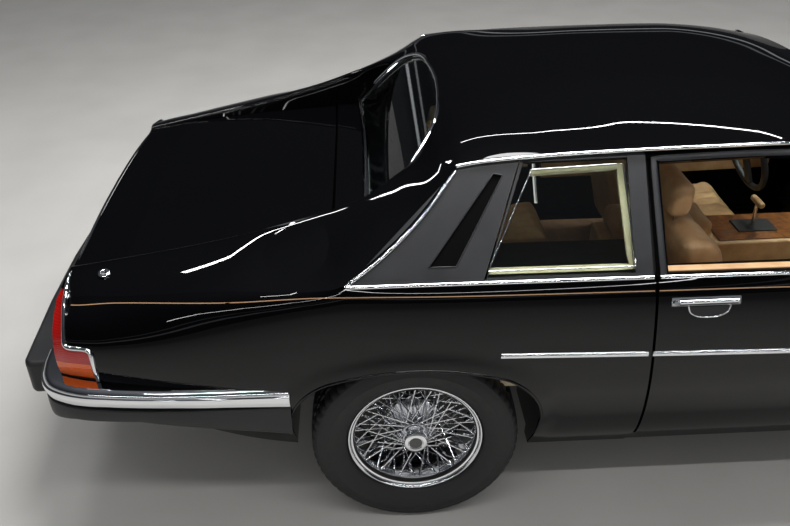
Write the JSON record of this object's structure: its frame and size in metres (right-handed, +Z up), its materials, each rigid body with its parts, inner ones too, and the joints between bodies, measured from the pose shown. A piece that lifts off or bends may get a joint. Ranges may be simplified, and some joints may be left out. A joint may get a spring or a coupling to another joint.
{
  "type": "two-door coupe",
  "caption": "Low two-door coupe with sail-panel buttresses beside the rear window, rubber bumpers with bright blades and wire-spoke wheels; doors, lids and wheels move.",
  "frame": {"origin": "on the ground, midway between the bumpers, on the centreline", "axes": "+X forward, +Y the car's left, +Z up"},
  "size_m": [4.86, 1.7934, 1.2609],
  "materials": {
    "paint": "gloss",
    "finisher": "satin",
    "glass": "gloss",
    "red_lens": "gloss",
    "clear_lens": "gloss",
    "chrome": "polished",
    "wire_chrome": "polished",
    "bumper_rubber": "matte",
    "tyre_rubber": "matte",
    "underbody": "matte",
    "cast_metal": "matte",
    "exhaust_steel": "satin",
    "tan_leather": "satin",
    "dark_trim": "matte",
    "wood_veneer": "gloss"
  },
  "bodies": {
    "body": {"quarter_panel_left": "paint", "quarter_panel_right": "paint", "rear_panel": "paint", "roof": "paint", "windscreen_pillars": "paint", "rear_deck": "paint", "rear_window_surround": "paint", "front_wing_left": "paint", "front_wing_right": "paint", "scuttle": "paint", "nose_panel": "paint", "sills": "paint", "sail_finishers": "finisher", "quarter_frames": "finisher", "windscreen": "glass", "quarter_glass": "glass", "rear_window": "glass", "tail_lamps": "red_lens", "headlamps": "clear_lens", "rear_blades": "chrome", "front_blades": "chrome", "grille": "chrome", "rear_bumper": "bumper_rubber", "front_bumper": "bumper_rubber", "floor_pan": "underbody", "front_suspension": "underbody", "rear_axle": "underbody", "propshaft": "underbody", "engine_gearbox": "cast_metal", "exhaust": "exhaust_steel", "front_seat_left": "tan_leather", "front_seat_right": "tan_leather", "rear_seat": "tan_leather", "dashboard": "dark_trim", "steering_wheel": "dark_trim", "console": "wood_veneer"},
    "door_left": {"door_left": "paint", "door_handle_left": "chrome"},
    "door_right": {"door_right": "paint", "door_handle_right": "chrome"},
    "bonnet": {"bonnet": "paint"},
    "boot_lid": {"boot_lid": "paint"},
    "knuckle_left": {"knuckle_left": "underbody"},
    "knuckle_right": {"knuckle_right": "underbody"},
    "wheel_front_left": {"tyre_front_left": "tyre_rubber", "wheel_front_left": "wire_chrome"},
    "wheel_front_right": {"tyre_front_right": "tyre_rubber", "wheel_front_right": "wire_chrome"},
    "wheel_rear_left": {"tyre_rear_left": "tyre_rubber", "wheel_rear_left": "wire_chrome"},
    "wheel_rear_right": {"tyre_rear_right": "tyre_rubber", "wheel_rear_right": "wire_chrome"}
  },
  "joints": [
    {"name": "door_left_hinge", "type": "hinge", "parent": "body", "child": "door_left", "pos_m": [0.743, 0.844, 0.55], "axis": [0, 0, 1], "range_deg": [-64, 0]},
    {"name": "door_right_hinge", "type": "hinge", "parent": "body", "child": "door_right", "pos_m": [0.743, -0.844, 0.55], "axis": [0, 0, 1], "range_deg": [0, 64]},
    {"name": "bonnet_hinge", "type": "hinge", "parent": "body", "child": "bonnet", "pos_m": [2.158, 0, 0.71], "axis": [0, 1, 0], "range_deg": [0, 52]},
    {"name": "boot_lid_hinge", "type": "hinge", "parent": "body", "child": "boot_lid", "pos_m": [-1.377, 0, 0.842], "axis": [0, 1, 0], "range_deg": [0, 72]},
    {"name": "steer_left", "type": "hinge", "parent": "body", "child": "knuckle_left", "pos_m": [1.401, 0.657, 0.32], "axis": [0, 0, 1], "range_deg": [-31, 31]},
    {"name": "steer_right", "type": "hinge", "parent": "body", "child": "knuckle_right", "pos_m": [1.401, -0.657, 0.32], "axis": [0, 0, 1], "range_deg": [-31, 31]},
    {"name": "spin_front_left", "type": "hinge", "parent": "knuckle_left", "child": "wheel_front_left", "pos_m": [1.401, 0.744, 0.32], "axis": [0, 1, 0], "continuous": true},
    {"name": "spin_front_right", "type": "hinge", "parent": "knuckle_right", "child": "wheel_front_right", "pos_m": [1.401, -0.744, 0.32], "axis": [0, 1, 0], "continuous": true},
    {"name": "spin_rear_left", "type": "hinge", "parent": "body", "child": "wheel_rear_left", "pos_m": [-1.19, 0.752, 0.32], "axis": [0, 1, 0], "continuous": true},
    {"name": "spin_rear_right", "type": "hinge", "parent": "body", "child": "wheel_rear_right", "pos_m": [-1.19, -0.752, 0.32], "axis": [0, 1, 0], "continuous": true}
  ],
  "couplings": [
    {"joint": "steer_right", "follows": "steer_left", "ratio": 1}
  ]
}
